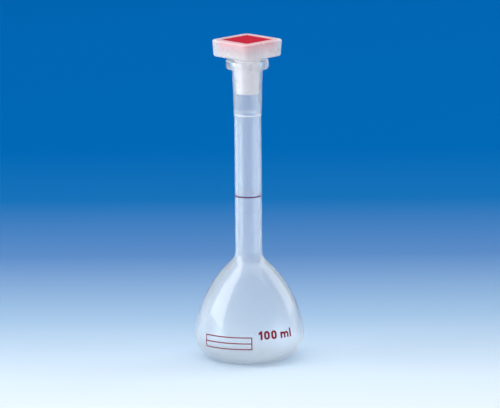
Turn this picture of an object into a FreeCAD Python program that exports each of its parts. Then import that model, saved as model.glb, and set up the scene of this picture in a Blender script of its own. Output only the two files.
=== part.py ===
"""Volumetric flask of translucent plastic, with a tapered stopper that has a square head.

The flask stands on its foot at Z = 0, and +Z runs up the axis of the neck.
The print on the bulb faces -Y. Lengths are in millimetres and angles in degrees.
"""

import FreeCAD, Part
import math
import os

import Sketcher

from FreeCAD import Placement, Rotation, Vector

# Driving dimensions. Each one is a cell of the sheet, under its own name.
SIZES = {
    # Flask: bulb
    "widest_diameter": 61.1,
    "widest_height": 14.0,
    "foot_diameter": 41.5,
    "foot_land": 3.2,
    "punt_height": 1.5,
    "belly_radius": 19.7,
    "belly_blend_rise": 3.3,
    "shoulder_radius": 9.1,
    "bulb_height": 60.9,
    "wall": 1.2,
    "floor_thickness": 1.6,
    # Flask: neck, socket and collar
    "neck_diameter": 15.0,
    "flask_height": 168.0,
    "socket_mouth_diameter": 14.5,
    "socket_taper": 0.1,
    "socket_length": 23.0,
    "socket_wall": 1.5,
    "socket_foot_wall": 1.6,
    "socket_zone": 30.3,
    "socket_step": 0.6,
    "relief_diameter": 13.2,
    "relief_run": 2.0,
    "lip_diameter": 11.6,
    "lip_height": 0.6,
    "lip_run": 0.2,
    "collar_diameter": 23.8,
    "collar_height": 4.4,
    "collar_edge": 0.5,
    "collar_root": 0.8,
    "mouth_chamfer": 0.4,
    # Print on the flask
    "ring_height": 91.8,
    "ring_width": 0.7,
    "ink_gap": 0.01,
    "ink_thickness": 0.08,
    "figure_height": 4.75,
    "figure_stroke": 1.1,
    "figure_width": 3.3,
    "figure_gap": 1.0,
    "flag_top": 0.9,
    "flag_root": 1.45,
    "figure_baseline": 15.8,
    "figure_start": 9.7,
    "unit_gap": 2.6,
    "unit_height": 3.45,
    "unit_stroke": 1.05,
    "unit_pitch": 2.3,
    "field_base": 10.2,
    "field_height": 7.2,
    "field_start": -52.0,
    "field_span": 55.0,
    "field_line": 0.55,
    "field_rows": 2,
    # Stopper
    "seat_clearance": 0.02,
    "head_lift": 2.3,
    "head_width": 29.75,
    "head_height": 9.3,
    "head_corner": 3.4,
    "head_draft": 4.5,
    "head_top_edge": 0.9,
    "head_bottom_edge": 1.2,
    "head_turn": 45.0,
    "plug_length": 21.0,
    "plug_wall": 1.3,
    "plug_floor": 1.4,
    "plug_tip_edge": 0.8,
    # Insert in the stopper's head
    "insert_width": 20.8,
    "insert_corner": 1.2,
    "insert_thickness": 3.4,
    "insert_drop": 0.25,
    "insert_clearance": 0.05,
    "insert_edge": 0.3,
    "skirt_length": 3.0,
    "skirt_wall": 1.2,
}

START, END, CENTRE = range(1, 4)  # points of a sketch edge
H_AXIS, V_AXIS = range(-1, -3, -1)  # a sketch's own axes
ORIGIN = (H_AXIS, START)
UP = Vector(0, 0, 1)
NEAR = 1e-4  # two lengths this close are the same

doc = FreeCAD.newDocument("volumetric_flask")
sheet = doc.addObject("Spreadsheet::Sheet", "sizes")
for row, (alias, number) in enumerate(SIZES.items(), start=1):
    sheet.set(f"A{row}", alias)
    sheet.set(f"B{row}", str(number))
    sheet.setAlias(f"B{row}", alias)
doc.recompute()


def size(alias):
    """The number in the sheet's cell of that name."""
    return float(getattr(sheet, alias))


def half_taper():
    """How much the socket's radius grows for each millimetre of height."""
    return size("socket_taper") / 2


# Bodies, sketches and features


def new_body(name):
    """A body whose label names the piece."""
    body = doc.addObject("PartDesign::Body", name)
    body.Label = name
    return body


def origin_plane(body, role):
    """One of the body's own origin planes, such as XY_Plane."""
    return next(item for item in body.Origin.OriginFeatures if item.Role == role)


class Outline:
    """A sketch on an origin plane, whose edges are drawn in place and then held by constraints."""

    def __init__(self, body, name, role, height=None):
        self.sketch = body.newObject("Sketcher::SketchObject", name)
        self.sketch.AttachmentSupport = [(origin_plane(body, role), "")]
        self.sketch.MapMode = "FlatFace"
        if height:
            self.sketch.setExpression("AttachmentOffset.Base.z", height)

    def line(self, start, end):
        """A straight edge between two (x, y) points."""
        return self.sketch.addGeometry(Part.LineSegment(Vector(*start), Vector(*end)), False)

    def arc(self, centre, radius, first, last):
        """An arc that runs counter-clockwise between two angles in radians."""
        circle = Part.Circle(Vector(*centre), UP, radius)
        return self.sketch.addGeometry(Part.ArcOfCircle(circle, first, last), False)

    def circle(self, radius, expression):
        """A circle about the origin, with its radius bound to the sheet."""
        edge = self.sketch.addGeometry(Part.Circle(Vector(), UP, radius), False)
        self.hold("Coincident", edge, CENTRE, *ORIGIN)
        self.measure(expression, "Radius", edge, radius)

    def hold(self, kind, *where):
        """A geometric constraint."""
        return self.sketch.addConstraint(Sketcher.Constraint(kind, *where))

    def measure(self, expression, kind, *where):
        """A dimension, bound to an expression in the sheet's cells."""
        index = self.hold(kind, *where)
        self.sketch.setExpression(f"Constraints[{index}]", expression)

    def place_x(self, expression, edge, point, start):
        """Holds a point's distance from the vertical axis."""
        self.measure(expression, "DistanceX", *ORIGIN, edge, point, start)

    def place_y(self, expression, edge, point, start):
        """Holds a point's height above the horizontal axis."""
        self.measure(expression, "DistanceY", *ORIGIN, edge, point, start)


def revolve(body, name, outline):
    """A solid of revolution about the body's Z axis."""
    feature = body.newObject("PartDesign::Revolution", name)
    feature.Profile = outline.sketch
    feature.ReferenceAxis = (outline.sketch, ["V_Axis"])
    feature.Angle = 360
    return feature


def groove(body, name, outline):
    """A cut of revolution about the body's Z axis."""
    feature = body.newObject("PartDesign::Groove", name)
    feature.Profile = outline.sketch
    feature.ReferenceAxis = (outline.sketch, ["V_Axis"])
    feature.Angle = 360
    return feature


def pad(body, name, outline, length, reversed_way=False, draft=None):
    """A pad of the outline, with its length and draft bound to the sheet."""
    feature = body.newObject("PartDesign::Pad", name)
    feature.Profile = outline.sketch
    feature.setExpression("Length", length)
    feature.Reversed = reversed_way
    if draft:
        feature.setExpression("TaperAngle", draft)
    return feature


def pocket(body, name, outline, depth):
    """A pocket cut downwards from the outline's plane."""
    feature = body.newObject("PartDesign::Pocket", name)
    feature.Profile = outline.sketch
    feature.setExpression("Length", depth)
    return feature


def edges_at(shape, height, radius=None):
    """Names of the edges that lie flat at a height, and on a circle of that radius if one is given."""
    found = []
    for number, edge in enumerate(shape.Edges, start=1):
        if edge.Degenerated:
            continue
        box = edge.BoundBox
        flat = abs(box.ZMin - height) < NEAR and abs(box.ZMax - height) < NEAR
        round_edge = isinstance(edge.Curve, Part.Circle)
        if flat and (radius is None or (round_edge and abs(edge.Curve.Radius - radius) < NEAR)):
            found.append(f"Edge{number}")
    return found


def round_edges(body, name, kind, edges, expression):
    """A Fillet or Chamfer of named edges of the body's tip, bound to the sheet."""
    base = body.Tip
    feature = body.newObject(f"PartDesign::{kind}", name)
    feature.Base = (base, edges)
    feature.setExpression("Radius" if kind == "Fillet" else "Size", expression)
    doc.recompute()
    return feature


# The bulb's outline, which the outer wall, the hollow and the ink share

HEEL_RADIUS = (
    "(((sizes.widest_diameter - sizes.foot_diameter) / 2)^2 + sizes.widest_height^2)"
    " / (sizes.widest_diameter - sizes.foot_diameter)"
)


def bulb_geometry(offset):
    """Centres, radii and angles of the bulb's arcs, all moved outwards by an offset.

    The heel and the lower belly stand upright at the widest height, the upper belly
    goes on from the lower one, and the hollow shoulder leads it into the neck.
    """
    widest, foot, neck = (size(n) / 2 for n in ("widest_diameter", "foot_diameter", "neck_diameter"))
    height, belly, shoulder = size("widest_height"), size("belly_radius"), size("shoulder_radius")
    heel = ((widest - foot) ** 2 + height**2) / (2 * (widest - foot))
    blend = math.asin(size("belly_blend_rise") / belly)
    across = neck + shoulder - widest + belly * (1 - math.cos(blend))
    along = size("bulb_height") - height - belly * math.sin(blend)
    crown = (across**2 + along**2 - shoulder**2) / (
        2 * (shoulder - across * math.cos(blend) - along * math.sin(blend))
    )
    crown_centre = (
        widest - belly + (belly - crown) * math.cos(blend),
        height + (belly - crown) * math.sin(blend),
    )
    shoulder_centre = (neck + shoulder, size("bulb_height"))
    top = math.atan2(shoulder_centre[1] - crown_centre[1], shoulder_centre[0] - crown_centre[0])
    return {
        "heel": ((widest - heel, height), heel + offset),
        "belly": ((widest - belly, height), belly + offset),
        "crown": (crown_centre, crown + offset),
        "shoulder": (shoulder_centre, shoulder - offset),
        "blend": blend,
        "top": top,
    }


def draw_bulb(outline, offset, moved, heel_start):
    """Draws the bulb's four arcs and holds them. Returns the heel's and the shoulder's edge.

    offset is the number and moved the same distance as an expression; heel_start is
    the angle where the heel begins.
    """
    shape = bulb_geometry(offset)
    heel = outline.arc(*shape["heel"], heel_start, 0)
    belly = outline.arc(*shape["belly"], 0, shape["blend"])
    crown = outline.arc(*shape["crown"], shape["blend"], shape["top"])
    shoulder = outline.arc(*shape["shoulder"], math.pi, shape["top"] + math.pi)
    outline.hold("Tangent", heel, END, belly, START)
    outline.hold("Tangent", belly, END, crown, START)
    outline.hold("Tangent", crown, END, shoulder, END)
    outline.hold("Horizontal", heel, CENTRE, heel, END)
    widest = size("widest_diameter") / 2 + offset
    outline.place_x(f"sizes.widest_diameter / 2 + {moved}", heel, END, widest)
    outline.place_y("sizes.widest_height", heel, END, size("widest_height"))
    outline.measure(f"{HEEL_RADIUS} + {moved}", "Radius", heel, shape["heel"][1])
    outline.measure(f"sizes.belly_radius + {moved}", "Radius", belly, shape["belly"][1])
    rise = size("belly_blend_rise") * (1 + offset / size("belly_radius"))
    outline.place_y(
        f"sizes.widest_height + sizes.belly_blend_rise * (1 + ({moved}) / sizes.belly_radius)",
        belly,
        END,
        size("widest_height") + rise,
    )
    outline.measure(f"sizes.shoulder_radius - ({moved})", "Radius", shoulder, shape["shoulder"][1])
    outline.place_y("sizes.bulb_height", shoulder, START, size("bulb_height"))
    return heel, shoulder


def heel_angle(shape, height):
    """The angle at which the heel's arc is at a height."""
    centre, radius = shape["heel"]
    return math.asin((height - centre[1]) / radius)


def close_loop(outline, edges):
    """Joins straight edges end to start, in order."""
    for first, second in zip(edges, edges[1:]):
        outline.hold("Coincident", first, END, second, START)


# Flask


def socket_radius(depth):
    """The socket's inner radius at a depth below the rim."""
    return size("socket_mouth_diameter") / 2 - depth * half_taper()


SOCKET_BORE = "(sizes.socket_mouth_diameter - sizes.socket_length * sizes.socket_taper) / 2"
COLLAR_BASE = "sizes.flask_height - sizes.collar_height"
SOCKET_FOOT = "sizes.flask_height - sizes.socket_zone"
SOCKET_TOP_RADIUS = (
    "(sizes.socket_mouth_diameter - sizes.collar_height * sizes.socket_taper) / 2 + sizes.socket_wall"
)
SOCKET_FOOT_RADIUS = f"{SOCKET_BORE} + sizes.socket_foot_wall"


def flask_outside(body):
    """The solid that the flask's outer wall bounds."""
    neck, collar = size("neck_diameter") / 2, size("collar_diameter") / 2
    rim = size("flask_height")
    foot, land = size("foot_diameter") / 2, size("foot_land")
    collar_base, socket_foot = rim - size("collar_height"), rim - size("socket_zone")
    socket_top_radius = socket_radius(size("collar_height")) + size("socket_wall")
    socket_foot_radius = socket_radius(size("socket_length")) + size("socket_foot_wall")
    punt, hollow = size("punt_height"), foot - land
    dome = (punt**2 + hollow**2) / (2 * punt)

    outline = Outline(body, "outside_outline", "XZ_Plane")
    shape = bulb_geometry(0)
    heel, shoulder = draw_bulb(outline, 0, "0", heel_angle(shape, 0))
    corners = [
        (neck, size("bulb_height")),
        (neck, socket_foot - size("socket_step")),
        (socket_foot_radius, socket_foot),
        (socket_top_radius, collar_base),
        (collar, collar_base),
        (collar, rim),
        (0, rim),
        (0, punt),
    ]
    walls = [outline.line(a, b) for a, b in zip(corners, corners[1:])]
    neck_wall, step, socket, under_collar, collar_wall, top, axis = walls
    spread = math.asin(hollow / dome)
    under = outline.arc((0, punt - dome), dome, math.pi / 2 - spread, math.pi / 2)
    foot_face = outline.line((hollow, 0), (foot, 0))

    outline.hold("Tangent", shoulder, START, neck_wall, START)
    close_loop(outline, walls)
    outline.hold("Coincident", axis, END, under, END)
    outline.hold("Coincident", under, START, foot_face, START)
    outline.hold("Coincident", foot_face, END, heel, START)
    outline.hold("Vertical", neck_wall)
    outline.hold("Horizontal", under_collar)
    outline.hold("Vertical", collar_wall)
    outline.hold("Horizontal", top)
    outline.hold("PointOnObject", top, END, V_AXIS)
    outline.hold("PointOnObject", axis, END, V_AXIS)
    outline.hold("PointOnObject", under, CENTRE, V_AXIS)
    outline.hold("PointOnObject", foot_face, START, H_AXIS)
    outline.hold("PointOnObject", foot_face, END, H_AXIS)
    outline.place_x("sizes.neck_diameter / 2", neck_wall, START, neck)
    outline.place_y(f"{SOCKET_FOOT} - sizes.socket_step", neck_wall, END, corners[1][1])
    outline.place_x(SOCKET_FOOT_RADIUS, step, END, socket_foot_radius)
    outline.place_y(SOCKET_FOOT, step, END, socket_foot)
    outline.place_x(SOCKET_TOP_RADIUS, socket, END, socket_top_radius)
    outline.place_y(COLLAR_BASE, socket, END, collar_base)
    outline.place_x("sizes.collar_diameter / 2", collar_wall, START, collar)
    outline.place_y("sizes.flask_height", collar_wall, END, rim)
    outline.place_y("sizes.punt_height", axis, END, punt)
    outline.place_x("sizes.foot_diameter / 2 - sizes.foot_land", foot_face, START, hollow)
    revolve(body, "outside", outline)


def flask_hollow(body):
    """Cuts the hollow: floor, bulb, neck bore, lip and tapered socket."""
    wall, rim = size("wall"), size("flask_height")
    bore, relief = socket_radius(size("socket_length")), size("relief_diameter") / 2
    neck_bore, lip = size("neck_diameter") / 2 - wall, size("lip_diameter") / 2
    socket_foot = rim - size("socket_zone")
    punt, hollow = size("punt_height"), size("foot_diameter") / 2 - size("foot_land")
    dome = (punt**2 + hollow**2) / (2 * punt)
    floor = dome + size("floor_thickness")

    outline = Outline(body, "hollow_outline", "XZ_Plane")
    shape = bulb_geometry(-wall)
    (heel_x, heel_z), heel_radius = shape["heel"]
    gap = math.hypot(heel_x, heel_z - (punt - dome))
    lean = math.acos((gap**2 + heel_radius**2 - floor**2) / (2 * gap * heel_radius))
    meet = math.atan2(punt - dome - heel_z, -heel_x) + lean
    heel, shoulder = draw_bulb(outline, -wall, "-sizes.wall", meet)
    meet_x = heel_x + heel_radius * math.cos(meet)
    corners = [
        (neck_bore, size("bulb_height")),
        (neck_bore, socket_foot - size("lip_height") - size("lip_run")),
        (lip, socket_foot - size("lip_height")),
        (lip, socket_foot),
        (relief, socket_foot),
        (relief, rim - size("socket_length") - size("relief_run")),
        (bore, rim - size("socket_length")),
        (size("socket_mouth_diameter") / 2, rim),
        (0, rim),
        (0, punt + size("floor_thickness")),
    ]
    walls = [outline.line(a, b) for a, b in zip(corners, corners[1:])]
    neck_wall, lip_slope, lip_face, ledge, relief_bore, relief_slope, socket, mouth, axis = walls
    floor_face = outline.arc((0, punt - dome), floor, math.pi / 2 - math.asin(meet_x / floor), math.pi / 2)

    outline.hold("Tangent", shoulder, START, neck_wall, START)
    close_loop(outline, walls)
    outline.hold("Coincident", axis, END, floor_face, END)
    outline.hold("Coincident", floor_face, START, heel, START)
    outline.hold("Vertical", neck_wall)
    outline.hold("Vertical", lip_face)
    outline.hold("Horizontal", ledge)
    outline.hold("Vertical", relief_bore)
    outline.hold("Horizontal", mouth)
    outline.hold("PointOnObject", mouth, END, V_AXIS)
    outline.hold("PointOnObject", axis, END, V_AXIS)
    outline.hold("PointOnObject", floor_face, CENTRE, V_AXIS)
    outline.place_x("sizes.neck_diameter / 2 - sizes.wall", neck_wall, START, neck_bore)
    lip_foot = f"{SOCKET_FOOT} - sizes.lip_height"
    outline.place_y(f"{lip_foot} - sizes.lip_run", neck_wall, END, corners[1][1])
    outline.place_x("sizes.lip_diameter / 2", lip_slope, END, lip)
    outline.place_y(lip_foot, lip_slope, END, corners[2][1])
    outline.place_y(SOCKET_FOOT, lip_face, END, socket_foot)
    outline.place_x("sizes.relief_diameter / 2", ledge, END, relief)
    socket_end = "sizes.flask_height - sizes.socket_length"
    outline.place_y(f"{socket_end} - sizes.relief_run", relief_bore, END, corners[5][1])
    outline.place_x(SOCKET_BORE, relief_slope, END, bore)
    outline.place_y(socket_end, relief_slope, END, corners[6][1])
    outline.place_x("sizes.socket_mouth_diameter / 2", socket, END, corners[7][0])
    outline.place_y("sizes.flask_height", socket, END, rim)
    outline.place_y("sizes.punt_height + sizes.floor_thickness", axis, END, corners[9][1])
    span = "(sizes.foot_diameter / 2 - sizes.foot_land)"
    outline.measure(
        f"(sizes.punt_height^2 + {span}^2) / (2 * sizes.punt_height) + sizes.floor_thickness",
        "Radius",
        floor_face,
        floor,
    )
    groove(body, "hollow", outline)


def make_flask():
    """The flask in one moulding: bulb, neck, tapered socket and collar."""
    body = new_body("flask_body")
    flask_outside(body)
    doc.recompute()
    flask_hollow(body)
    doc.recompute()
    rim, collar = size("flask_height"), size("collar_diameter") / 2
    collar_base = rim - size("collar_height")
    root = socket_radius(size("collar_height")) + size("socket_wall")
    collar_edges = edges_at(body.Shape, rim, collar) + edges_at(body.Shape, collar_base, collar)
    round_edges(body, "collar_rounding", "Fillet", collar_edges, "sizes.collar_edge")
    root_edges = edges_at(body.Shape, collar_base, root)
    round_edges(body, "collar_root_rounding", "Fillet", root_edges, "sizes.collar_root")
    mouth = edges_at(body.Shape, rim, size("socket_mouth_diameter") / 2)
    round_edges(body, "mouth_bevel", "Chamfer", mouth, "sizes.mouth_chamfer")
    return body


# Print on the flask


def make_ring_mark():
    """The printed ring round the neck, up to which the flask holds its volume."""
    body = new_body("ring_mark")
    height = "sizes.ring_height - sizes.ring_width / 2"
    outline = Outline(body, "ring_outline", "XY_Plane", height)
    inner = size("neck_diameter") / 2 + size("ink_gap")
    outline.circle(inner, "sizes.neck_diameter / 2 + sizes.ink_gap")
    outline.circle(
        inner + size("ink_thickness"),
        "sizes.neck_diameter / 2 + sizes.ink_gap + sizes.ink_thickness",
    )
    pad(body, "ring", outline, "sizes.ring_width")
    return body


def bulb_solid(name, offset, moved):
    """The bulb's outer shape up to the neck, moved outwards by an offset."""
    body = new_body(name)
    outline = Outline(body, f"{name}_outline", "XZ_Plane")
    shape = bulb_geometry(offset)
    heel, shoulder = draw_bulb(outline, offset, moved, heel_angle(shape, 0))
    neck = size("neck_diameter") / 2 + offset
    foot = shape["heel"][0][0] + shape["heel"][1] * math.cos(heel_angle(shape, 0))
    corners = [(neck, size("bulb_height")), (0, size("bulb_height")), (0, 0), (foot, 0)]
    walls = [outline.line(a, b) for a, b in zip(corners, corners[1:])]
    top, axis, base = walls
    outline.hold("Coincident", shoulder, START, top, START)
    close_loop(outline, walls)
    outline.hold("Coincident", base, END, heel, START)
    outline.hold("Horizontal", shoulder, CENTRE, shoulder, START)
    outline.hold("Horizontal", top)
    outline.hold("PointOnObject", top, END, V_AXIS)
    outline.hold("Coincident", axis, END, *ORIGIN)
    outline.hold("PointOnObject", base, END, H_AXIS)
    outline.place_x(f"sizes.neck_diameter / 2 + {moved}", top, START, neck)
    revolve(body, f"{name}_solid", outline)
    return body


def make_ink_skin():
    """A film of ink over the whole bulb, from which the print is taken."""
    gap, film = size("ink_gap"), size("ink_gap") + size("ink_thickness")
    skin = doc.addObject("Part::Cut", "ink_skin")
    skin.Base = bulb_solid("ink_outside", film, "sizes.ink_gap + sizes.ink_thickness")
    skin.Tool = bulb_solid("ink_inside", gap, "sizes.ink_gap")
    return skin


def sector(name, height, thickness, start, span):
    """A wedge round the axis, with its height, thickness and angles as expressions."""
    wedge = doc.addObject("Part::Cylinder", name)
    wedge.setExpression("Radius", "sizes.widest_diameter")
    wedge.setExpression("Height", thickness)
    wedge.setExpression("Angle", span)
    wedge.setExpression("Placement.Base.z", height)
    wedge.setExpression("Placement.Rotation.Angle", f"{start} - 90")
    wedge.Placement.Rotation.Axis = UP
    return wedge


def make_write_on_field(skin):
    """A ruled frame to write in, printed on the bulb beside the capacity."""
    rows = int(size("field_rows"))
    frame = sector(
        "field_block",
        "sizes.field_base",
        "sizes.field_height",
        "sizes.field_start",
        "sizes.field_span",
    )
    row_height = "(sizes.field_height - (sizes.field_rows + 1) * sizes.field_line) / sizes.field_rows"
    side = "(sizes.field_line / sizes.widest_diameter * 2 * 180 / pi)"
    windows = doc.addObject("Part::MultiFuse", "field_windows")
    windows.Shapes = [
        sector(
            f"field_window_{row + 1}",
            f"sizes.field_base + sizes.field_line + {row} * ({row_height} + sizes.field_line)",
            row_height,
            f"sizes.field_start + {side}",
            f"sizes.field_span - 2 * {side}",
        )
        for row in range(rows)
    ]
    ruled = doc.addObject("Part::Cut", "field_ruling")
    ruled.Base = frame
    ruled.Tool = windows
    field = doc.addObject("Part::Common", "write_on_field")
    field.Base = skin
    field.Tool = ruled
    return field


def polygon(points):
    """A closed wire through (x, y) points."""
    return Part.makePolygon([Vector(x, y, 0) for x, y in (*points, points[0])])


def rectangle(left, right, low, high):
    """A flat rectangular face."""
    return Part.Face(polygon([(left, low), (right, low), (right, high), (left, high)]))


def stadium(width, height, inset):
    """The outline of an upright slot with round ends, drawn in by an inset."""
    radius, low, high = width / 2 - inset, width / 2, height - width / 2
    left, right = width / 2 - radius, width / 2 + radius
    return Part.Wire(
        [
            Part.LineSegment(Vector(right, low), Vector(right, high)).toShape(),
            Part.Arc(Vector(right, high), Vector(width / 2, high + radius), Vector(left, high)).toShape(),
            Part.LineSegment(Vector(left, high), Vector(left, low)).toShape(),
            Part.Arc(Vector(left, low), Vector(width / 2, low - radius), Vector(right, low)).toShape(),
        ]
    )


def figure_one():
    """The figure 1: an upright with a flag."""
    height, stroke = size("figure_height"), size("figure_stroke")
    reach = size("figure_width") / 2 + stroke / 2
    flag = reach - stroke
    return Part.Face(
        polygon(
            [
                (reach, 0),
                (reach, height),
                (reach - size("flag_top"), height),
                (0, height - flag),
                (0, height - flag - stroke),
                (reach - stroke, height - size("flag_root")),
                (reach - stroke, 0),
            ]
        )
    )


def figure_zero():
    """The figure 0: a slot-shaped ring."""
    width, height = size("figure_width"), size("figure_height")
    outside = Part.Face(stadium(width, height, 0))
    return outside.cut(Part.Face(stadium(width, height, size("figure_stroke"))))


def letter_m():
    """The letter m: three uprights under two arches."""
    height, stroke, pitch = size("unit_height"), size("unit_stroke"), size("unit_pitch")
    outer, inner = (pitch + stroke) / 2, (pitch - stroke) / 2
    spring = height - outer
    shape = rectangle(0, stroke, 0, height)
    for arch in range(2):
        middle = Vector(stroke / 2 + pitch * (arch + 0.5), spring, 0)
        ring = Part.Face(Part.Wire(Part.makeCircle(outer, middle)))
        ring = ring.cut(Part.Face(Part.Wire(Part.makeCircle(inner, middle))))
        upper = rectangle(middle.x - outer, middle.x + outer, spring, height)
        leg = rectangle(middle.x + inner, middle.x + outer, 0, spring)
        shape = shape.fuse([ring.common(upper), leg])
    return shape.removeSplitter()


def letter_l():
    """The letter l: one upright."""
    stroke, height = size("unit_stroke"), size("figure_height")
    return rectangle(0, stroke, 0, height)


def make_capacity_print(skin):
    """The figures 100 and the unit ml, each a film of ink on the bulb."""
    gap = size("figure_gap")
    glyphs = [
        (figure_one(), gap),
        (figure_zero(), gap),
        (figure_zero(), size("unit_gap")),
        (letter_m(), gap),
        (letter_l(), gap),
    ]
    girth = math.pi * size("widest_diameter")
    reach = Vector(0, 0, size("widest_diameter") / 2)
    along, films = 0.0, []
    for glyph, space in glyphs:
        width = glyph.BoundBox.XMax
        turn = size("figure_start") + 360 * (along + width / 2) / girth
        upright = Placement(Vector(), Rotation(UP, turn) * Rotation(Vector(1, 0, 0), 90))
        glyph.translate(Vector(-width / 2, size("figure_baseline"), 0))
        prisms = glyph.extrude(reach * 2).Solids
        prism = prisms[0].multiFuse(prisms[1:]).removeSplitter() if prisms[1:] else prisms[0]
        prism.Placement = upright
        films += skin.Shape.common(prism).Solids
        along += width + space
    node = doc.addObject("Part::Feature", "capacity_print")
    node.Shape = Part.makeCompound(films)
    return node


# Stopper


def rounded_square(outline, width, width_expression, corner, corner_expression):
    """A square about the origin with round corners, held to the sheet."""
    half, flat = width / 2, width / 2 - corner
    sides, corners = [], []
    for turn in range(4):
        angle = turn * math.pi / 2
        spin = Rotation(UP, math.degrees(angle))
        start, end = spin.multVec(Vector(half, -flat)), spin.multVec(Vector(half, flat))
        centre = spin.multVec(Vector(flat, flat))
        sides.append(outline.line((start.x, start.y), (end.x, end.y)))
        corners.append(outline.arc((centre.x, centre.y), corner, angle, angle + math.pi / 2))
    for turn in range(4):
        outline.hold("Tangent", sides[turn], END, corners[turn], START)
        outline.hold("Tangent", corners[turn], END, sides[(turn + 1) % 4], START)
    for first, second in zip(corners, corners[1:]):
        outline.hold("Equal", first, second)
    outline.hold("Vertical", sides[0])
    outline.hold("Horizontal", sides[1])
    outline.hold("Vertical", sides[2])
    outline.hold("Horizontal", sides[3])
    outline.place_x(f"{width_expression} / 2", sides[0], START, half)
    outline.place_y(f"{width_expression} / 2", sides[1], START, half)
    outline.measure(f"{width_expression} / 2", "DistanceX", sides[2], START, *ORIGIN, half)
    outline.measure(f"{width_expression} / 2", "DistanceY", sides[3], START, *ORIGIN, half)
    outline.measure(corner_expression, "Radius", corners[0], corner)


def seat_stopper_piece(piece, height):
    """Stands a piece of the stopper on the flask's axis, turned with the head."""
    piece.Placement.Rotation.Axis = UP
    piece.setExpression("Placement.Rotation.Angle", "sizes.head_turn")
    piece.setExpression("Placement.Base.z", height)


PLUG_GAUGE = "sizes.socket_mouth_diameter / 2 - sizes.seat_clearance"
PLUG_TOP = f"{PLUG_GAUGE} + sizes.head_lift * sizes.socket_taper / 2"
PLUG_TIP = f"{PLUG_GAUGE} - (sizes.plug_length - sizes.head_lift) * sizes.socket_taper / 2"
RECESS_DEPTH = "(sizes.insert_thickness + sizes.insert_drop)"
RECESS_WIDTH = "(sizes.insert_width + 2 * sizes.insert_clearance)"
RECESS_CORNER = "sizes.insert_corner + sizes.insert_clearance"


def make_stopper():
    """The stopper in one moulding: hollow tapered plug and square head.

    It is drawn about the middle of the head's underside.
    """
    body = new_body("stopper")
    gauge = size("socket_mouth_diameter") / 2 - size("seat_clearance")
    top = gauge + size("head_lift") * half_taper()
    tip = gauge - (size("plug_length") - size("head_lift")) * half_taper()
    length, head, wall = size("plug_length"), size("head_height"), size("plug_wall")
    depth = size("insert_thickness") + size("insert_drop")

    block = Outline(body, "head_outline", "XY_Plane")
    draw_in = 2 * head * math.tan(math.radians(size("head_draft")))
    foot = "(sizes.head_width - 2 * sizes.head_height * tan(sizes.head_draft * 1 deg))"
    rounded_square(block, size("head_width") - draw_in, foot, size("head_corner"), "sizes.head_corner")
    pad(body, "head", block, "sizes.head_height", draft="sizes.head_draft")

    plug = Outline(body, "plug_outline", "XZ_Plane")
    corners = [(0, 0), (0, -length), (tip, -length), (top, 0)]
    walls = [plug.line(a, b) for a, b in zip(corners, corners[1:] + corners[:1])]
    close_loop(plug, walls + walls[:1])
    plug.hold("Coincident", walls[0], START, *ORIGIN)
    plug.hold("PointOnObject", walls[0], END, V_AXIS)
    plug.hold("Horizontal", walls[1])
    plug.hold("PointOnObject", walls[3], START, H_AXIS)
    plug.measure("sizes.plug_length", "DistanceY", walls[0], END, *ORIGIN, length)
    plug.place_x(PLUG_TIP, walls[2], START, tip)
    plug.place_x(PLUG_TOP, walls[3], START, top)
    revolve(body, "plug", plug)

    recess = Outline(body, "recess_outline", "XY_Plane", "sizes.head_height")
    recess_width = size("insert_width") + 2 * size("insert_clearance")
    corner = size("insert_corner") + size("insert_clearance")
    rounded_square(recess, recess_width, RECESS_WIDTH, corner, RECESS_CORNER)
    pocket(body, "recess", recess, RECESS_DEPTH)

    hollow = Outline(body, "plug_hollow_outline", "XZ_Plane")
    floor = -length + size("plug_floor")
    narrow, wide = tip - wall, top - wall
    corners = [(0, head - depth), (0, floor), (narrow, floor), (wide, 0), (wide, head - depth)]
    walls = [hollow.line(a, b) for a, b in zip(corners, corners[1:] + corners[:1])]
    close_loop(hollow, walls + walls[:1])
    hollow.hold("PointOnObject", walls[0], START, V_AXIS)
    hollow.hold("PointOnObject", walls[0], END, V_AXIS)
    hollow.hold("Horizontal", walls[1])
    hollow.hold("PointOnObject", walls[3], START, H_AXIS)
    hollow.hold("Vertical", walls[3])
    hollow.hold("Horizontal", walls[4])
    hollow.place_y(f"sizes.head_height - {RECESS_DEPTH}", walls[0], START, head - depth)
    hollow.measure("sizes.plug_length - sizes.plug_floor", "DistanceY", walls[0], END, *ORIGIN, -floor)
    hollow.place_x(f"{PLUG_TIP} - sizes.plug_wall", walls[2], START, narrow)
    hollow.place_x(f"{PLUG_TOP} - sizes.plug_wall", walls[3], START, wide)
    groove(body, "plug_hollow", hollow)
    doc.recompute()

    rim = [name for name in edges_at(body.Shape, head) if not inside_recess(body.Shape, name, recess_width)]
    round_edges(body, "head_top_rounding", "Fillet", rim, "sizes.head_top_edge")
    under = [name for name in edges_at(body.Shape, 0) if not inside_recess(body.Shape, name, recess_width)]
    round_edges(body, "head_bottom_rounding", "Fillet", under, "sizes.head_bottom_edge")
    round_edges(body, "plug_tip_rounding", "Fillet", edges_at(body.Shape, -length), "sizes.plug_tip_edge")
    seat_stopper_piece(body, "sizes.flask_height + sizes.head_lift")
    return body


def inside_recess(shape, name, width):
    """Whether the middle of a named edge lies within a square of that width about the axis."""
    middle = shape.getElement(name).CenterOfMass
    return max(abs(middle.x), abs(middle.y)) < width / 2 + NEAR


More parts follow.
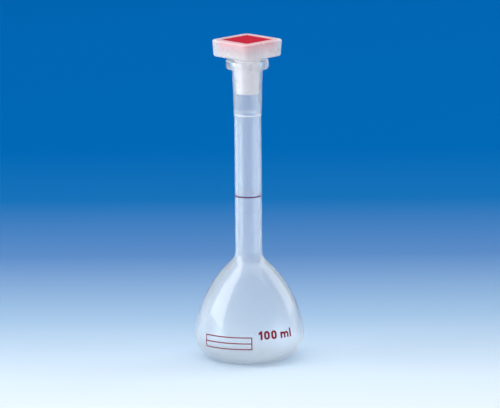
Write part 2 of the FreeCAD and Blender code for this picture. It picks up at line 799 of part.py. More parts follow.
def make_insert():
    """The coloured plate in the stopper's head, with a skirt that plugs the hollow."""
    body = new_body("stopper_insert")
    plate = Outline(body, "plate_outline", "XY_Plane")
    width, corner = size("insert_width"), size("insert_corner")
    rounded_square(plate, width, "sizes.insert_width", corner, "sizes.insert_corner")
    pad(body, "plate", plate, "sizes.insert_thickness")
    doc.recompute()
    top = edges_at(body.Shape, size("insert_thickness"))
    round_edges(body, "plate_rounding", "Fillet", top, "sizes.insert_edge")
    skirt = Outline(body, "skirt_outline", "XY_Plane")
    gauge = size("socket_mouth_diameter") / 2 - size("seat_clearance") + size("head_lift") * half_taper()
    outer = gauge - size("plug_wall") - size("insert_clearance")
    outer_expression = f"{PLUG_TOP} - sizes.plug_wall - sizes.insert_clearance"
    skirt.circle(outer, outer_expression)
    skirt.circle(outer - size("skirt_wall"), f"{outer_expression} - sizes.skirt_wall")
    pad(body, "skirt", skirt, "sizes.skirt_length", reversed_way=True)
    seat = f"sizes.flask_height + sizes.head_lift + sizes.head_height - {RECESS_DEPTH}"
    seat_stopper_piece(body, seat)
    return body


def capacity(flask):
    """The volume in millilitres that the flask holds up to its ring mark."""
    level = size("ring_height")
    column = Part.makeCylinder(size("widest_diameter"), level)
    middle = Vector(0, 0, level / 2)
    contents = [s for s in column.cut(flask.Shape).Solids if s.isInside(middle, NEAR, True)]
    return sum(s.Volume for s in contents) / 1000


def check(pieces):
    """Stops if any object failed, or if a piece has no valid solid."""
    failed = [o.Name for o in doc.Objects if {"Invalid", "Error"} & set(o.State)]
    if failed:
        raise RuntimeError(f"these objects failed: {failed}")
    for piece in pieces:
        if piece.Shape.isNull() or not piece.Shape.isValid() or not piece.Shape.Solids:
            raise RuntimeError(f"{piece.Label} has no valid solid")


def main():
    """Builds every piece, checks it and writes it to its own file."""
    flask = make_flask()
    ring = make_ring_mark()
    skin = make_ink_skin()
    doc.recompute()
    field = make_write_on_field(skin)
    figures = make_capacity_print(skin)
    stopper = make_stopper()
    insert = make_insert()
    doc.recompute()
    pieces = [flask, ring, field, figures, stopper, insert]
    check(pieces)
    os.makedirs("parts", exist_ok=True)
    for piece in pieces:
        piece.Shape.exportStep(f"parts/{piece.Label}.step")
        box = piece.Shape.optimalBoundingBox()
        print(
            f"{piece.Label}: {len(piece.Shape.Solids)} solids, {piece.Shape.Volume:.1f} mm3,"
            f" {box.XLength:.2f} x {box.YLength:.2f} x {box.ZLength:.2f}, from z {box.ZMin:.2f}"
        )
    print(f"capacity up to the ring mark: {capacity(flask):.2f} ml")


main()
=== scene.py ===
"""Studio scene of a translucent plastic volumetric flask with a square-headed stopper.

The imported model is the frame: it fixes the size and place of every piece. This script
turns the flask's shell as a fine lathe mesh, gives every piece its finish, and sets up
the paper floor, the soft boxes and the camera.
"""

import logging
import math
from dataclasses import dataclass, field, replace
from enum import Enum
from typing import Any

import bpy
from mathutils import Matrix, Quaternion, Vector


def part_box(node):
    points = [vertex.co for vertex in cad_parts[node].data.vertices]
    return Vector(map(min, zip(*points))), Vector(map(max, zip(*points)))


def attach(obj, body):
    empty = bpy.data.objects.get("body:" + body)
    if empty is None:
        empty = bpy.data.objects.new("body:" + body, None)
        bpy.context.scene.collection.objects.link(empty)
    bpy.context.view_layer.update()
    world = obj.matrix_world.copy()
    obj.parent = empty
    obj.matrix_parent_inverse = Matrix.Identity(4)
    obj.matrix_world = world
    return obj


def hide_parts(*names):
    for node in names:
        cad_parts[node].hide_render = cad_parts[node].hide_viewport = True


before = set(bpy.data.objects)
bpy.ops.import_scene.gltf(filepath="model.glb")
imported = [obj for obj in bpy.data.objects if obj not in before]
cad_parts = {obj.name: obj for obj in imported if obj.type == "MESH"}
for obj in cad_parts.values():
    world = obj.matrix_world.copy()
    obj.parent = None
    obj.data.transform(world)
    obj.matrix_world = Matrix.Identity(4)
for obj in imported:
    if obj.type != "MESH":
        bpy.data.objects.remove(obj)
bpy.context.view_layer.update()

LOG = logging.getLogger("flask")
MM = 0.001
IMAGE_WIDTH = 500
SENSOR_WIDTH = 36.0

# Places of the colour sockets on a Mix node.
MIX_FIRST = 6
MIX_SECOND = 7
MIX_RESULT = 2

Shade = tuple[float, float, float, float]
Stop = tuple[float, Shade]
Point2 = tuple[float, float]
Point3 = tuple[float, float, float]
Material = bpy.types.Material
Object = bpy.types.Object
Socket = bpy.types.NodeSocket


class Body(str, Enum):
    """The rigid body that the new piece rides on."""

    FLASK = "flask"


class Node(str, Enum):
    """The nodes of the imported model."""

    FLASK_BODY = "flask_body"
    RING_MARK = "ring_mark"
    CAPACITY_PRINT = "capacity_print"
    WRITE_ON_FIELD = "write_on_field"
    STOPPER = "stopper"
    STOPPER_INSERT = "stopper_insert"


class Slot(str, Enum):
    """The record's material slot for the flask's plastic; nothing in this script uses it."""

    FLASK_PLASTIC = "flask_plastic"


def srgb(red: int, green: int, blue: int) -> Shade:
    """Linear colour of an 8-bit screen colour.

    Args:
        red: Red from 0 to 255.
        green: Green from 0 to 255.
        blue: Blue from 0 to 255.

    Returns:
        The linear colour with full alpha.
    """

    def linear(level: int) -> float:
        share = level / 255
        return share / 12.92 if share <= 0.04045 else ((share + 0.055) / 1.055) ** 2.4

    return linear(red), linear(green), linear(blue), 1.0


class Nodes:
    """A node tree that is filled from code."""

    def __init__(self, tree: Any) -> None:
        """Empties the tree.

        Args:
            tree: The node tree of a material, a world or a group.
        """
        self.tree = tree
        tree.nodes.clear()

    def add(self, kind: str, **values: Any) -> Any:
        """Adds a node and sets its properties.

        Args:
            kind: The node's type, without the ShaderNode prefix.
            values: Properties of the node by name.

        Returns:
            The new node.
        """
        prefix = "" if kind.startswith("Node") else "ShaderNode"
        node = self.tree.nodes.new(prefix + kind)
        for name, value in values.items():
            setattr(node, name, value)
        return node

    def link(self, source: Socket, target: Socket) -> None:
        """Links an output socket to an input socket."""
        self.tree.links.new(source, target)

    def give(self, target: Socket, value: Any) -> None:
        """Gives an input a value.

        Args:
            target: The input socket.
            value: A socket to link, or a plain number or colour.
        """
        if isinstance(value, Socket):
            self.link(value, target)
        else:
            target.default_value = value

    def place(self) -> Socket:
        """Adds the coordinates of the piece itself."""
        return self.add("TexCoord").outputs["Object"]

    def math(self, operation: str, first: Any, second: Any) -> Socket:
        """Adds a Math node.

        Args:
            operation: The operation, such as MULTIPLY.
            first: A socket or a number.
            second: A socket or a number.

        Returns:
            The result's socket.
        """
        node = self.add("Math", operation=operation)
        for target, value in zip(node.inputs, (first, second)):
            self.give(target, value)
        return node.outputs[0]

    def noise(self, scale: Any, detail: float) -> Socket:
        """Adds a noise that is fixed to the piece.

        Args:
            scale: The scale, as a socket or a number.
            detail: The number of finer layers.

        Returns:
            The noise's socket.
        """
        node = self.add("TexNoise")
        self.link(self.place(), node.inputs["Vector"])
        self.give(node.inputs["Scale"], scale)
        self.give(node.inputs["Detail"], detail)
        return node.outputs[0]

    def mix(self, share: Socket, first: Any, second: Any) -> Socket:
        """Adds a mix of two colours.

        Args:
            share: The share of the second colour.
            first: A socket or a colour.
            second: A socket or a colour.

        Returns:
            The mixed colour's socket.
        """
        node = self.add("Mix", data_type="RGBA")
        self.link(share, node.inputs["Factor"])
        self.give(node.inputs[MIX_FIRST], first)
        self.give(node.inputs[MIX_SECOND], second)
        return node.outputs[MIX_RESULT]

    def ramp(self, value: Socket, stops: list[Stop]) -> Socket:
        """Adds a colour ramp.

        Args:
            value: The value that is coloured.
            stops: Places from 0 to 1 with their colours, in order.

        Returns:
            The colour's socket.
        """
        node = self.add("ValToRGB")
        elements = node.color_ramp.elements
        for element, (position, colour) in zip(elements, (stops[0], stops[-1])):
            element.position = position
            element.color = colour
        for position, colour in stops[1:-1]:
            elements.new(position).color = colour
        self.link(value, node.inputs["Fac"])
        return node.outputs[0]

    def blend(self, share: Socket, first: Socket, second: Socket) -> Socket:
        """Adds a mix of two shaders.

        Args:
            share: The share of the second shader.
            first: The first shader's socket.
            second: The second shader's socket.

        Returns:
            The mixed shader's socket.
        """
        node = self.add("MixShader")
        for target, source in zip(node.inputs, (share, first, second)):
            self.link(source, target)
        return node.outputs[0]

    def finish(self, surface: Socket, kind: str = "OutputMaterial") -> None:
        """Adds the output and links the surface to it.

        Args:
            surface: The shader's socket.
            kind: The output node's type.
        """
        self.link(surface, self.add(kind).inputs["Surface"])


def new_material(name: str) -> tuple[Material, Nodes]:
    """Makes an empty node material.

    Args:
        name: The material's name.

    Returns:
        The material and its tree.
    """
    material = bpy.data.materials.new(name)
    material.use_nodes = True
    return material, Nodes(material.node_tree)


def new_group(name: str, inputs: dict[str, float], outputs: list[str]) -> tuple[Any, Nodes, Any, Any]:
    """Makes a shader node group with float sockets.

    Args:
        name: The group's name.
        inputs: Input names with their defaults.
        outputs: Output names.

    Returns:
        The group, its tree, and its input and output nodes.
    """
    group = bpy.data.node_groups.new(name, "ShaderNodeTree")
    for label, value in inputs.items():
        socket = group.interface.new_socket(label, in_out="INPUT", socket_type="NodeSocketFloat")
        socket.default_value = value
    for label in outputs:
        group.interface.new_socket(label, in_out="OUTPUT", socket_type="NodeSocketFloat")
    tree = Nodes(group)
    return group, tree, tree.add("NodeGroupInput"), tree.add("NodeGroupOutput")


@dataclass(frozen=True)
class MouldedSkin:
    """The skin that the moulded pieces share: a faint ripple, and gloss that varies in patches."""

    ripple_scale: float = 300.0
    ripple_detail: float = 2.0
    patch_scale: float = 60.0
    patch_detail: float = 4.0
    patch_middle: float = 0.5
    roughness: float = 0.3
    variation: float = 0.1

    def build(self) -> Any:
        """Makes the skin.

        Returns:
            The node group, with outputs Height and Roughness.
        """
        inputs = {
            "Ripple Scale": self.ripple_scale,
            "Patch Scale": self.patch_scale,
            "Roughness": self.roughness,
            "Variation": self.variation,
        }
        group, tree, given, result = new_group("moulded_skin", inputs, ["Height", "Roughness"])
        ripple = tree.noise(given.outputs["Ripple Scale"], self.ripple_detail)
        tree.link(ripple, result.inputs["Height"])
        patch = tree.noise(given.outputs["Patch Scale"], self.patch_detail)
        swing = tree.math("SUBTRACT", patch, self.patch_middle)
        swing = tree.math("MULTIPLY", swing, given.outputs["Variation"])
        tree.link(tree.math("ADD", given.outputs["Roughness"], swing), result.inputs["Roughness"])
        return group


def link_skin(tree: Nodes, shader: Any, skin: Any, values: dict[str, float], relief: Point2) -> None:
    """Gives a shader the moulded skin's gloss and ripple.

    Args:
        tree: The material's tree.
        shader: The shader.
        skin: The moulded skin group.
        values: Inputs of the group that differ from its own.
        relief: The ripple's strength, and its depth in millimetres.
    """
    finish = tree.add("Group", node_tree=skin)
    for name, value in values.items():
        finish.inputs[name].default_value = value
    tree.link(finish.outputs["Roughness"], shader.inputs["Roughness"])
    bump = tree.add("Bump")
    strength, depth = relief
    bump.inputs["Strength"].default_value = strength
    bump.inputs["Distance"].default_value = depth * MM
    tree.link(finish.outputs["Height"], bump.inputs["Height"])
    tree.link(bump.outputs[0], shader.inputs["Normal"])


class Along(Enum):
    """What a gradient follows: the height, or the distance to either side."""

    HEIGHT = (0.0, 0.0, 1.0)
    SIDE = (1.0, 0.0, 0.0)


def link_rise(tree: Nodes, along: Along, span: Point2, levels: Point2) -> Socket:
    """Adds a value that goes smoothly from one level to another over the piece.

    Args:
        tree: The material's tree.
        along: What the value follows.
        span: The heights or distances in millimetres where the change begins and ends.
        levels: The value before the change and after it.

    Returns:
        The value's socket.
    """
    mask = tree.add("VectorMath", operation="MULTIPLY")
    tree.link(tree.place(), mask.inputs[0])
    mask.inputs[1].default_value = along.value
    length = tree.add("VectorMath", operation="LENGTH")
    tree.link(mask.outputs["Vector"], length.inputs[0])
    rise = tree.add("MapRange", interpolation_type="SMOOTHSTEP")
    tree.link(length.outputs["Value"], rise.inputs["Value"])
    rise.inputs["From Min"].default_value = span[0] * MM
    rise.inputs["From Max"].default_value = span[1] * MM
    rise.inputs["To Min"].default_value = levels[0]
    rise.inputs["To Max"].default_value = levels[1]
    return rise.outputs[0]


@dataclass(frozen=True)
class PaintedLight:
    """A colour painted over a piece in place of light, such as a painted glow. Lengths are in
    millimetres.
    """

    colour: Shade
    along: Along
    low: float
    high: float
    share: float = 1.0

    def link(self, tree: Nodes, colour: Socket) -> Socket:
        """Lets the painted light's colour come in.

        Args:
            tree: The material's tree.
            colour: The socket of the colour without it.

        Returns:
            The socket of the colour with it.
        """
        share = link_rise(tree, self.along, (self.low, self.high), (0.0, self.share))
        return tree.mix(share, colour, self.colour)


@dataclass(frozen=True)
class MouldedPlastic:
    """A moulded plastic, from milky and translucent to opaque. Lengths are in millimetres.

    The skin group gives its ripple and its patches of gloss.
    """

    name: str
    colour: Shade
    mottle: Shade
    mottle_scale: float
    roughness: float
    roughness_variation: float
    transmission: float
    refraction: float
    ripple: float
    ripple_depth: float = 0.1
    mottle_detail: float = 3.0
    light_through: float = 0.0
    foot_through: float = 0.0
    foot_from: float = 0.0
    foot_to: float = 0.0
    coat: float = 0.0
    coat_roughness: float = 0.1
    # Colours painted over the plastic in place of light: a painted glow and painted see-through.
    painted_lights: tuple[PaintedLight, ...] = ()

    def link_surface(self, tree: Nodes, shader: Any) -> None:
        """Links the shader to the output, and lets a share of the lamps' light straight through.

        Where the foot's own share is given, the thick foot lets less through and so shades the floor.

        Args:
            tree: The material's tree.
            shader: The plastic's shader.
        """
        if not self.light_through:
            tree.finish(shader.outputs[0])
            return
        shadow = tree.add("LightPath").outputs["Is Shadow Ray"]
        share: Any = self.light_through
        if self.foot_to:
            levels = (self.foot_through, self.light_through)
            share = link_rise(tree, Along.HEIGHT, (self.foot_from, self.foot_to), levels)
        clear = tree.add("BsdfTransparent").outputs[0]
        tree.finish(tree.blend(tree.math("MULTIPLY", shadow, share), shader.outputs[0], clear))

    def build(self, skin: Any) -> Material:
        """Makes the material.

        Args:
            skin: The moulded skin group.

        Returns:
            The material.
        """
        material, tree = new_material(self.name)
        shader = tree.add("BsdfPrincipled")
        self.link_surface(tree, shader)
        shader.inputs["Transmission Weight"].default_value = self.transmission
        shader.inputs["IOR"].default_value = self.refraction
        shader.inputs["Coat Weight"].default_value = self.coat
        shader.inputs["Coat Roughness"].default_value = self.coat_roughness
        cloud = tree.noise(self.mottle_scale, self.mottle_detail)
        colour = tree.mix(cloud, self.colour, self.mottle)
        # Paints on the colours that stand in for light: painted glow and painted see-through.
        for painted in self.painted_lights:
            colour = painted.link(tree, colour)
        tree.link(colour, shader.inputs["Base Color"])
        values = {"Roughness": self.roughness, "Variation": self.roughness_variation}
        link_skin(tree, shader, skin, values, (self.ripple, self.ripple_depth))
        return material


@dataclass(frozen=True)
class PrintedInk:
    """Screen-printed ink, with the uneven film of a print on smooth plastic.

    Lengths are in millimetres.
    """

    name: str
    colour: Shade
    thin: Shade
    thin_below: float = 0.35
    full_above: float = 0.55
    grain_scale: float = 2500.0
    grain_detail: float = 3.0
    roughness: float = 0.6
    gloss: float = 0.15
    film: float = 0.2
    film_depth: float = 0.02

    def build(self, skin: Any) -> Material:
        """Makes the material.

        Args:
            skin: The moulded skin group, for the film's gloss.

        Returns:
            The material.
        """
        material, tree = new_material(self.name)
        shader = tree.add("BsdfPrincipled")
        tree.finish(shader.outputs[0])
        shader.inputs["Specular IOR Level"].default_value = self.gloss
        grain = tree.noise(self.grain_scale, self.grain_detail)
        stops = [(self.thin_below, self.thin), (self.full_above, self.colour)]
        tree.link(tree.ramp(grain, stops), shader.inputs["Base Color"])
        values = {"Roughness": self.roughness, "Ripple Scale": self.grain_scale}
        link_skin(tree, shader, skin, values, (self.film, self.film_depth))
        return material


def deselect() -> None:
    """Leaves every object unselected and none in edit mode."""
    if bpy.context.mode != "OBJECT":
        bpy.ops.object.mode_set(mode="OBJECT")
    bpy.ops.object.select_all(action="DESELECT")


def arc_points(centre: Point2, radius: float, first: float, last: float, count: int) -> list[Point2]:
    """Points along an arc, both ends included.

    Args:
        centre: The arc's centre.
        radius: The arc's radius.
        first: The angle of the first point in radians.
        last: The angle of the last point in radians.
        count: The number of steps.

    Returns:
        The points in order.
    """
    angles = (first + (last - first) * step / count for step in range(count + 1))
    return [(centre[0] + radius * math.cos(a), centre[1] + radius * math.sin(a)) for a in angles]


@dataclass
class FlaskShell:
    """The flask's shell, turned on a lathe. Lengths are in millimetres."""

    widest_height: float = 14.0
    foot_radius: float = 20.75
    foot_land: float = 3.2
    punt_height: float = 1.5
    belly_radius: float = 19.7
    belly_blend_rise: float = 3.3
    shoulder_radius: float = 9.1
    bulb_height: float = 60.9
    wall: float = 1.2
    floor_thickness: float = 1.6
    neck_radius: float = 7.5
    mouth_radius: float = 7.25
    socket_bore: float = 6.1
    socket_length: float = 23.0
    socket_zone: float = 30.3
    relief_radius: float = 6.6
    relief_run: float = 2.0
    lip_radius: float = 5.8
    lip_height: float = 0.6
    lip_run: float = 0.2
    socket_step: float = 0.6
    seam_bead: float = 0.15
    socket_wall: float = 1.5
    socket_foot_wall: float = 1.6
    collar_radius: float = 11.9
    collar_height: float = 4.4
    collar_edge: float = 0.5
    collar_root: float = 0.8
    mouth_bevel: float = 0.4
    merge_distance: float = 0.002
    smooth_below: float = math.radians(35)
    turns: int = 160
    arc_steps: int = 14
    edge_steps: int = 6
    blend_steps: int = 4
    widest_radius: float = field(init=False)
    rim: float = field(init=False)
    socket_foot: float = field(init=False)

    def __post_init__(self) -> None:
        """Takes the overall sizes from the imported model."""
        low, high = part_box(Node.FLASK_BODY.value)
        self.widest_radius = (high[0] - low[0]) / 2 / MM
        self.rim = high[2] / MM
        self.socket_foot = self.rim - self.socket_zone

    def socket_radius(self, depth: float) -> float:
        """Radius of the tapered socket.

        Args:
            depth: The depth below the rim.

        Returns:
            The radius at that depth.
        """
        return self.mouth_radius - (self.mouth_radius - self.socket_bore) * depth / self.socket_length

    def heel_radius(self) -> float:
        """Radius of the arc from the foot to the widest height."""
        reach = self.widest_radius - self.foot_radius
        return (reach**2 + self.widest_height**2) / (2 * reach)

    def punt_radius(self) -> float:
        """Radius of the hollow under the foot."""
        return self.foot_radius - self.foot_land

    def dome_radius(self) -> float:
        """Radius of the dome that hollows the foot."""
        return (self.punt_height**2 + self.punt_radius() ** 2) / (2 * self.punt_height)

    def bulb(self, offset: float, heel_start: float) -> list[Point2]:
        """The bulb's outline from the heel to the neck, moved outwards.

        Args:
            offset: How far the outline is moved outwards.
            heel_start: The angle where the heel's arc begins.

        Returns:
            Points of radius and height.
        """
        heel = self.heel_radius()
        blend = math.asin(self.belly_blend_rise / self.belly_radius)
        across = self.neck_radius + self.shoulder_radius - self.widest_radius
        across += self.belly_radius * (1 - math.cos(blend))
        along = self.bulb_height - self.widest_height - self.belly_radius * math.sin(blend)
        slack = self.shoulder_radius - across * math.cos(blend) - along * math.sin(blend)
        crown = (across**2 + along**2 - self.shoulder_radius**2) / (2 * slack)
        crown_centre = (
            self.widest_radius - self.belly_radius + (self.belly_radius - crown) * math.cos(blend),
            self.widest_height + (self.belly_radius - crown) * math.sin(blend),
        )
        shoulder_centre = (self.neck_radius + self.shoulder_radius, self.bulb_height)
        top = math.atan2(shoulder_centre[1] - crown_centre[1], shoulder_centre[0] - crown_centre[0])
        heel_centre = (self.widest_radius - heel, self.widest_height)
        belly_centre = (self.widest_radius - self.belly_radius, self.widest_height)
        steps = self.arc_steps
        points = arc_points(heel_centre, heel + offset, heel_start, 0, steps)
        points += arc_points(belly_centre, self.belly_radius + offset, 0, blend, self.blend_steps)[1:]
        points += arc_points(crown_centre, crown + offset, blend, top, 2 * steps)[1:]
        shoulder = self.shoulder_radius - offset
        points += arc_points(shoulder_centre, shoulder, top + math.pi, math.pi, steps)[1:]
        return points

    def outside(self) -> list[Point2]:
        """The outer outline, from the middle of the underside to the rim.

        Returns:
            Points of radius and height.
        """
        upright = math.pi / 2
        steps = self.edge_steps
        dome = self.dome_radius()
        spread = math.asin(self.punt_radius() / dome)
        points = arc_points((0, self.punt_height - dome), dome, upright, upright - spread, steps)
        points += self.bulb(0, math.asin(-self.widest_height / self.heel_radius()))
        socket_outside = self.socket_bore + self.socket_foot_wall
        points.append((self.neck_radius, self.socket_foot - self.socket_step))
        points.append((socket_outside + self.seam_bead, self.socket_foot - self.socket_step / 2))
        points.append((socket_outside, self.socket_foot + self.socket_step / 2))
        collar_base = self.rim - self.collar_height
        root, edge = self.collar_root, self.collar_edge
        socket_top = self.socket_radius(self.collar_height) + self.socket_wall
        root_centre = (socket_top + root, collar_base - root)
        points += arc_points(root_centre, root, math.pi, upright, steps)
        low_edge = (self.collar_radius - edge, collar_base + edge)
        points += arc_points(low_edge, edge, -upright, 0, steps)
        top_edge = (self.collar_radius - edge, self.rim - edge)
        points += arc_points(top_edge, edge, 0, upright, steps)
        return points

    def inside(self) -> list[Point2]:
        """The inner outline, from the rim down to the middle of the floor.

        Returns:
            Points of radius and height.
        """
        lip_base = self.socket_foot - self.lip_height
        points = [
            (self.mouth_radius + self.mouth_bevel, self.rim),
            (self.socket_radius(self.mouth_bevel), self.rim - self.mouth_bevel),
            (self.socket_bore, self.rim - self.socket_length),
            (self.relief_radius, self.rim - self.socket_length - self.relief_run),
            (self.relief_radius, self.socket_foot),
            (self.lip_radius, self.socket_foot),
            (self.lip_radius, lip_base),
            (self.neck_radius - self.wall, lip_base - self.lip_run),
        ]
        floor_centre = (0, self.punt_height - self.dome_radius())
        floor = self.dome_radius() + self.floor_thickness
        heel = self.heel_radius() - self.wall
        centre = (self.widest_radius - self.heel_radius(), self.widest_height)
        drop = centre[1] - floor_centre[1]
        gap = math.hypot(centre[0], drop)
        lean = math.acos((gap**2 + heel**2 - floor**2) / (2 * gap * heel))
        meet = math.atan2(-drop, -centre[0]) + lean
        points += reversed(self.bulb(-self.wall, meet))
        upright = math.pi / 2
        spread = math.asin((centre[0] + heel * math.cos(meet)) / floor)
        points += arc_points(floor_centre, floor, upright - spread, upright, self.edge_steps)[1:]
        return points

    def build(self) -> Object:
        """Draws the section, spins it round the axis and closes the shell.

        Returns:
            The shell's object, at the origin.
        """
        section = self.outside() + self.inside()
        deselect()
        bpy.ops.mesh.primitive_plane_add(size=MM)
        shell = bpy.context.object
        shell.name = "flask_shell"
        bpy.ops.object.mode_set(mode="EDIT")
        bpy.ops.mesh.select_all(action="SELECT")
        bpy.ops.mesh.merge(type="CENTER")
        start = Vector((section[0][0], 0, section[0][1])) * MM
        bpy.ops.transform.translate(value=start)
        for (radius, height), (next_radius, next_height) in zip(section, section[1:]):
            step = Vector((next_radius - radius, 0, next_height - height)) * MM
            bpy.ops.mesh.extrude_region_move(TRANSFORM_OT_translate={"value": step})
        bpy.ops.mesh.select_all(action="SELECT")
        bpy.ops.mesh.spin(steps=self.turns, angle=math.tau, center=(0, 0, 0), axis=(0, 0, 1))
        bpy.ops.mesh.select_all(action="SELECT")
        bpy.ops.mesh.remove_doubles(threshold=self.merge_distance * MM)
        bpy.ops.mesh.normals_make_consistent(inside=False)
        bpy.ops.object.mode_set(mode="OBJECT")
        bpy.ops.object.shade_smooth_by_angle(angle=self.smooth_below)
        return shell

    def mark_lip(self, shell: Object, index: int) -> None:
        """Gives the thick lip below the socket, and the seam round it, a material of their own.

        Args:
            shell: The shell's object.
            index: The place of the lip's material in the shell's list.
        """
        low = self.socket_foot - self.lip_height - self.lip_run
        high = self.socket_foot + self.socket_step / 2
        for face in shell.data.polygons:
            if low < face.center.z / MM < high:
                face.material_index = index


def dress(node: Node, material: Material) -> None:
    """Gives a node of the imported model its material.

    Args:
        node: The node.
        material: The material.
    """
    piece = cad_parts[node.value]
    piece.data.materials.clear()
    piece.data.materials.append(material)
    LOG.info("%s: %s", node.value, material.name)


@dataclass
class Flask:
    """The flask: its turned shell and the print on it."""

    plastic: Material
    lip_plastic: Material
    print_ink: Material
    ring_ink: Material
    shape: FlaskShell = field(default_factory=FlaskShell)

    def build(self) -> None:
        """Builds the shell and dresses the print."""
        shell = self.shape.build()
        shell.data.materials.append(self.plastic)
        shell.data.materials.append(self.lip_plastic)
        self.shape.mark_lip(shell, shell.data.materials.find(self.lip_plastic.name))
        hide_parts(Node.FLASK_BODY.value)
        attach(shell, Body.FLASK.value)
        LOG.info("flask shell: %d faces", len(shell.data.polygons))
        dress(Node.RING_MARK, self.ring_ink)
        dress(Node.CAPACITY_PRINT, self.print_ink)
        dress(Node.WRITE_ON_FIELD, self.print_ink)


@dataclass
class Stopper:
    """The stopper and the coloured plate in its head."""

    plastic: Material
    plate_plastic: Material

    def build(self) -> None:
        """Dresses both pieces."""
        dress(Node.STOPPER, self.plastic)
        dress(Node.STOPPER_INSERT, self.plate_plastic)


class Role(Enum):
    """Whether a light lights surfaces, shows in their gloss and is seen through the plastic."""

    PANEL = (True, True, False)
    FILL = (True, False, False)
    CARD = (False, False, True)


@dataclass
class SoftBox:
    """An area light, turned to its aim. Lengths are in metres."""

    name: str
    place: Point3
    aim: Point3
    width: float
    height: float
    watts: float
    role: Role = Role.PANEL
    colour: Point3 = (1.0, 1.0, 1.0)

    def build(self) -> None:
        """Adds the light and turns it to its aim."""
        lamp = bpy.data.lights.new(self.name, "AREA")
        lamp.color = self.colour
        lamp.shape = "RECTANGLE"
        lamp.size = self.width
        lamp.size_y = self.height
        lamp.energy = self.watts
        light = bpy.data.objects.new(self.name, lamp)
        light.location = self.place
        way = Vector(self.aim) - Vector(self.place)
        light.rotation_euler = way.to_track_quat("-Z", "Y").to_euler()
        light.visible_diffuse, light.visible_glossy, light.visible_transmission = self.role.value
        bpy.context.collection.objects.link(light)
        LOG.info("light %s", self.name)


@dataclass
class Cards:
    """The low cards beside the flask, in two halves on each side. Lengths are in metres.

    Between the halves is a gap, so that no card is straight behind the neck from the side.
    """

    colour: Point3 = (0.8, 0.92, 1.0)
    distance: float = 0.3
    middle: float = 0.05
    height: float = 0.09
    front: float = -0.15
    front_width: float = 0.14
    back: float = 0.17
    back_width: float = 0.16
    left_watts: Point2 = (0.135, 0.145)
    right_watts: Point2 = (0.06, 0.065)

    def boxes(self) -> list[SoftBox]:
        """Lays out the cards.

        Returns:
            The cards, front and back, on the left and then on the right.
        """
        halves = (("front", self.front, self.front_width), ("back", self.back, self.back_width))
        sides = (("left", -self.distance, self.left_watts), ("right", self.distance, self.right_watts))
        cards = []
        for side, across, powers in sides:
            for (half, along, width), watts in zip(halves, powers):
                name = f"{side}_card_{half}"
                place, aim = (across, along, self.middle), (0.0, along, self.middle)
                card = SoftBox(name, place, aim, width, self.height, watts, Role.CARD, self.colour)
                cards.append(card)
        return cards


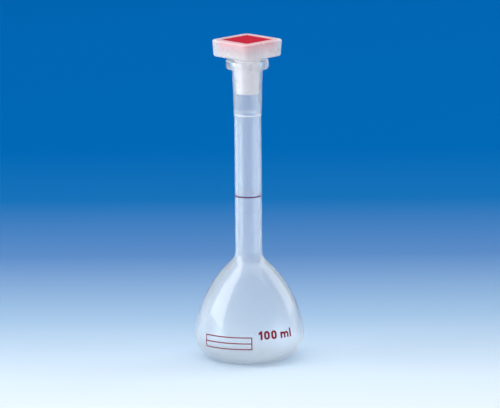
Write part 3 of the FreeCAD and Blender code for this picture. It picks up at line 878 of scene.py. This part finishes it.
@dataclass
class Studio:
    """The paper floor that shades from pale to blue, the room's light and the camera.

    Lengths are in metres.
    """

    floor_size: float = 12.0
    floor_gap: float = 0.1 * MM
    paper_roughness: float = 0.9
    elevation: float = math.radians(11.3)
    distance: float = 4.0
    pixels_per_metre: float = 1800.0
    aim: Point3 = (0.0009, 0.0, 0.0867)
    roll: float = math.radians(-0.45)
    view_depth: float = 50.0
    room_strength: float = 0.35
    room_shades: tuple[Stop, ...] = ((0.1, srgb(1, 100, 176)), (0.6, (0.86, 0.93, 1.0, 1.0)))
    wall_colour: Shade = (0.62, 0.84, 1.0, 1.0)
    wall_strength: float = 0.48
    cards: Cards = field(default_factory=Cards)
    paper_shades: tuple[Stop, ...] = (
        (-0.7, srgb(190, 202, 213)),
        (-0.15, srgb(228, 236, 243)),
        (-0.06, srgb(215, 229, 240)),
        (0.11, srgb(155, 185, 214)),
        (0.28, srgb(88, 132, 185)),
        (0.45, srgb(22, 107, 172)),
        (0.62, srgb(1, 99, 170)),
        (1.1, srgb(1, 101, 175)),
    )

    def build(self) -> None:
        """Builds the floor, the world, the lights and the camera."""
        self.build_floor()
        self.build_world()
        for box in self.boxes():
            box.build()
        self.build_camera()

    def build_floor(self) -> None:
        """Adds the paper floor with its graded colour."""
        deselect()
        bpy.ops.mesh.primitive_plane_add(size=self.floor_size, location=(0, 0, -self.floor_gap))
        floor = bpy.context.object
        floor.name = "paper_floor"
        material, tree = new_material("graded_paper")
        shader = tree.add("BsdfPrincipled")
        tree.finish(shader.outputs[0])
        shader.inputs["Roughness"].default_value = self.paper_roughness
        shader.inputs["Specular IOR Level"].default_value = 0.0
        split = tree.add("SeparateXYZ")
        tree.link(tree.place(), split.inputs[0])
        share = tree.add("MapRange")
        tree.link(split.outputs["Y"], share.inputs["Value"])
        front, back = self.paper_shades[0][0], self.paper_shades[-1][0]
        share.inputs["From Min"].default_value = front
        share.inputs["From Max"].default_value = back
        stops = [((place - front) / (back - front), colour) for place, colour in self.paper_shades]
        tree.link(tree.ramp(share.outputs[0], stops), shader.inputs["Base Color"])
        floor.data.materials.append(material)

    def build_world(self) -> None:
        """Lights the room evenly, and shows pale walls in the gloss and through the plastic."""
        world = bpy.data.worlds.new("studio_room")
        bpy.context.scene.world = world
        world.use_nodes = True
        tree = Nodes(world.node_tree)
        rise = tree.add("SeparateXYZ")
        tree.link(tree.add("TexCoord").outputs["Generated"], rise.inputs[0])
        room = tree.add("Background")
        room.inputs["Strength"].default_value = self.room_strength
        tree.link(tree.ramp(rise.outputs["Z"], list(self.room_shades)), room.inputs["Color"])
        walls = tree.add("Background")
        walls.inputs["Color"].default_value = self.wall_colour
        walls.inputs["Strength"].default_value = self.wall_strength
        path = tree.add("LightPath")
        seen = tree.math("MAXIMUM", path.outputs["Is Glossy Ray"], path.outputs["Is Transmission Ray"])
        tree.finish(tree.blend(seen, room.outputs[0], walls.outputs[0]), "OutputWorld")

    def boxes(self) -> list[SoftBox]:
        """Lays out the studio's lights.

        Returns:
            The two tall panels, the cards, the fill in front and the box overhead.
        """
        return [
            SoftBox(
                name="left_panel",
                place=(-1.3, -0.2, 1.74),
                aim=(0.0, -0.2, 1.74),
                width=1.02,
                height=2.84,
                watts=31.5,
            ),
            SoftBox(
                name="right_panel",
                place=(1.1, 0.72, 1.41),
                aim=(0.0, 0.72, 1.41),
                width=0.86,
                height=2.4,
                watts=9.5,
            ),
            *self.cards.boxes(),
            SoftBox(
                name="front_fill",
                place=(0.4, -1.6, 0.9),
                aim=(0.0, 0.0, 0.08),
                width=1.2,
                height=1.2,
                watts=8.0,
                role=Role.FILL,
            ),
            SoftBox(
                name="top_box",
                place=(0.0, 0.9, 2.0),
                aim=(0.0, 0.9, 0.0),
                width=3.0,
                height=3.0,
                watts=29.0,
            ),
        ]

    def build_camera(self) -> None:
        """Sets the camera at the photograph's angle."""
        lens = bpy.data.cameras.new("camera")
        lens.sensor_width = SENSOR_WIDTH
        lens.lens = self.pixels_per_metre * SENSOR_WIDTH / IMAGE_WIDTH * self.distance
        lens.clip_end = self.view_depth
        camera = bpy.data.objects.new("camera", lens)
        away = Vector((0, -math.cos(self.elevation), math.sin(self.elevation)))
        camera.location = Vector(self.aim) + away * self.distance
        turn = (-away).to_track_quat("-Z", "Y") @ Quaternion((0, 0, 1), self.roll)
        camera.rotation_euler = turn.to_euler()
        bpy.context.collection.objects.link(camera)
        bpy.context.scene.camera = camera


FLASK_PLASTIC = MouldedPlastic(
    name="milky_flask_plastic",
    colour=(0.95, 0.97, 0.99, 1.0),
    mottle=(0.92, 0.94, 0.98, 1.0),
    mottle_scale=40.0,
    roughness=0.26,
    roughness_variation=0.05,
    transmission=0.89,
    refraction=1.49,
    ripple=0.02,
    light_through=0.98,
    foot_through=0.5,
    foot_from=4.0,
    foot_to=8.0,
    coat=0.6,
)
LIP_PLASTIC = replace(FLASK_PLASTIC, name="milky_lip_plastic", transmission=0.58)
STOPPER_PLASTIC = MouldedPlastic(
    name="milky_stopper_plastic",
    colour=(0.97, 0.90, 0.89, 1.0),
    mottle=(0.94, 0.87, 0.86, 1.0),
    mottle_scale=60.0,
    roughness=0.28,
    roughness_variation=0.08,
    transmission=0.25,
    refraction=1.45,
    ripple=0.02,
    light_through=0.95,
    coat=0.4,
    painted_lights=(
        # Painted glow: pink painted over the top of the head, standing in for the red plate's light
        # shining through the white plastic.
        PaintedLight(colour=(0.98, 0.58, 0.60, 1.0), along=Along.HEIGHT, low=171.0, high=181.0),
        # Painted see-through: pale blue painted over the head's thin corners, standing in for the blue
        # backdrop's light seen through them.
        PaintedLight(colour=(0.80, 0.93, 1.0, 1.0), along=Along.SIDE, low=13.5, high=19.5, share=0.9),
    ),
)
PLATE_PLASTIC = MouldedPlastic(
    name="red_plate_plastic",
    colour=srgb(198, 6, 44),
    mottle=srgb(178, 4, 38),
    mottle_scale=120.0,
    roughness=0.5,
    roughness_variation=0.1,
    transmission=0.0,
    refraction=1.12,
    ripple=0.2,
)
PRINT_INK = PrintedInk(name="red_print_ink", colour=srgb(142, 4, 26), thin=srgb(152, 22, 44))
RING_INK = PrintedInk(name="ring_ink", colour=srgb(96, 46, 86), thin=srgb(112, 64, 102))


def main() -> None:
    """Builds the flask, the stopper and the studio in order."""
    logging.basicConfig(level=logging.INFO, format="%(name)s: %(message)s")
    bpy.context.scene.view_settings.view_transform = "Standard"
    skin = MouldedSkin().build()
    print_ink = PRINT_INK.build(skin)
    plastics = [finish.build(skin) for finish in (FLASK_PLASTIC, LIP_PLASTIC)]
    Flask(*plastics, print_ink, RING_INK.build(skin)).build()
    Stopper(STOPPER_PLASTIC.build(skin), PLATE_PLASTIC.build(skin)).build()
    Studio().build()


if __name__ == "__main__":
    main()
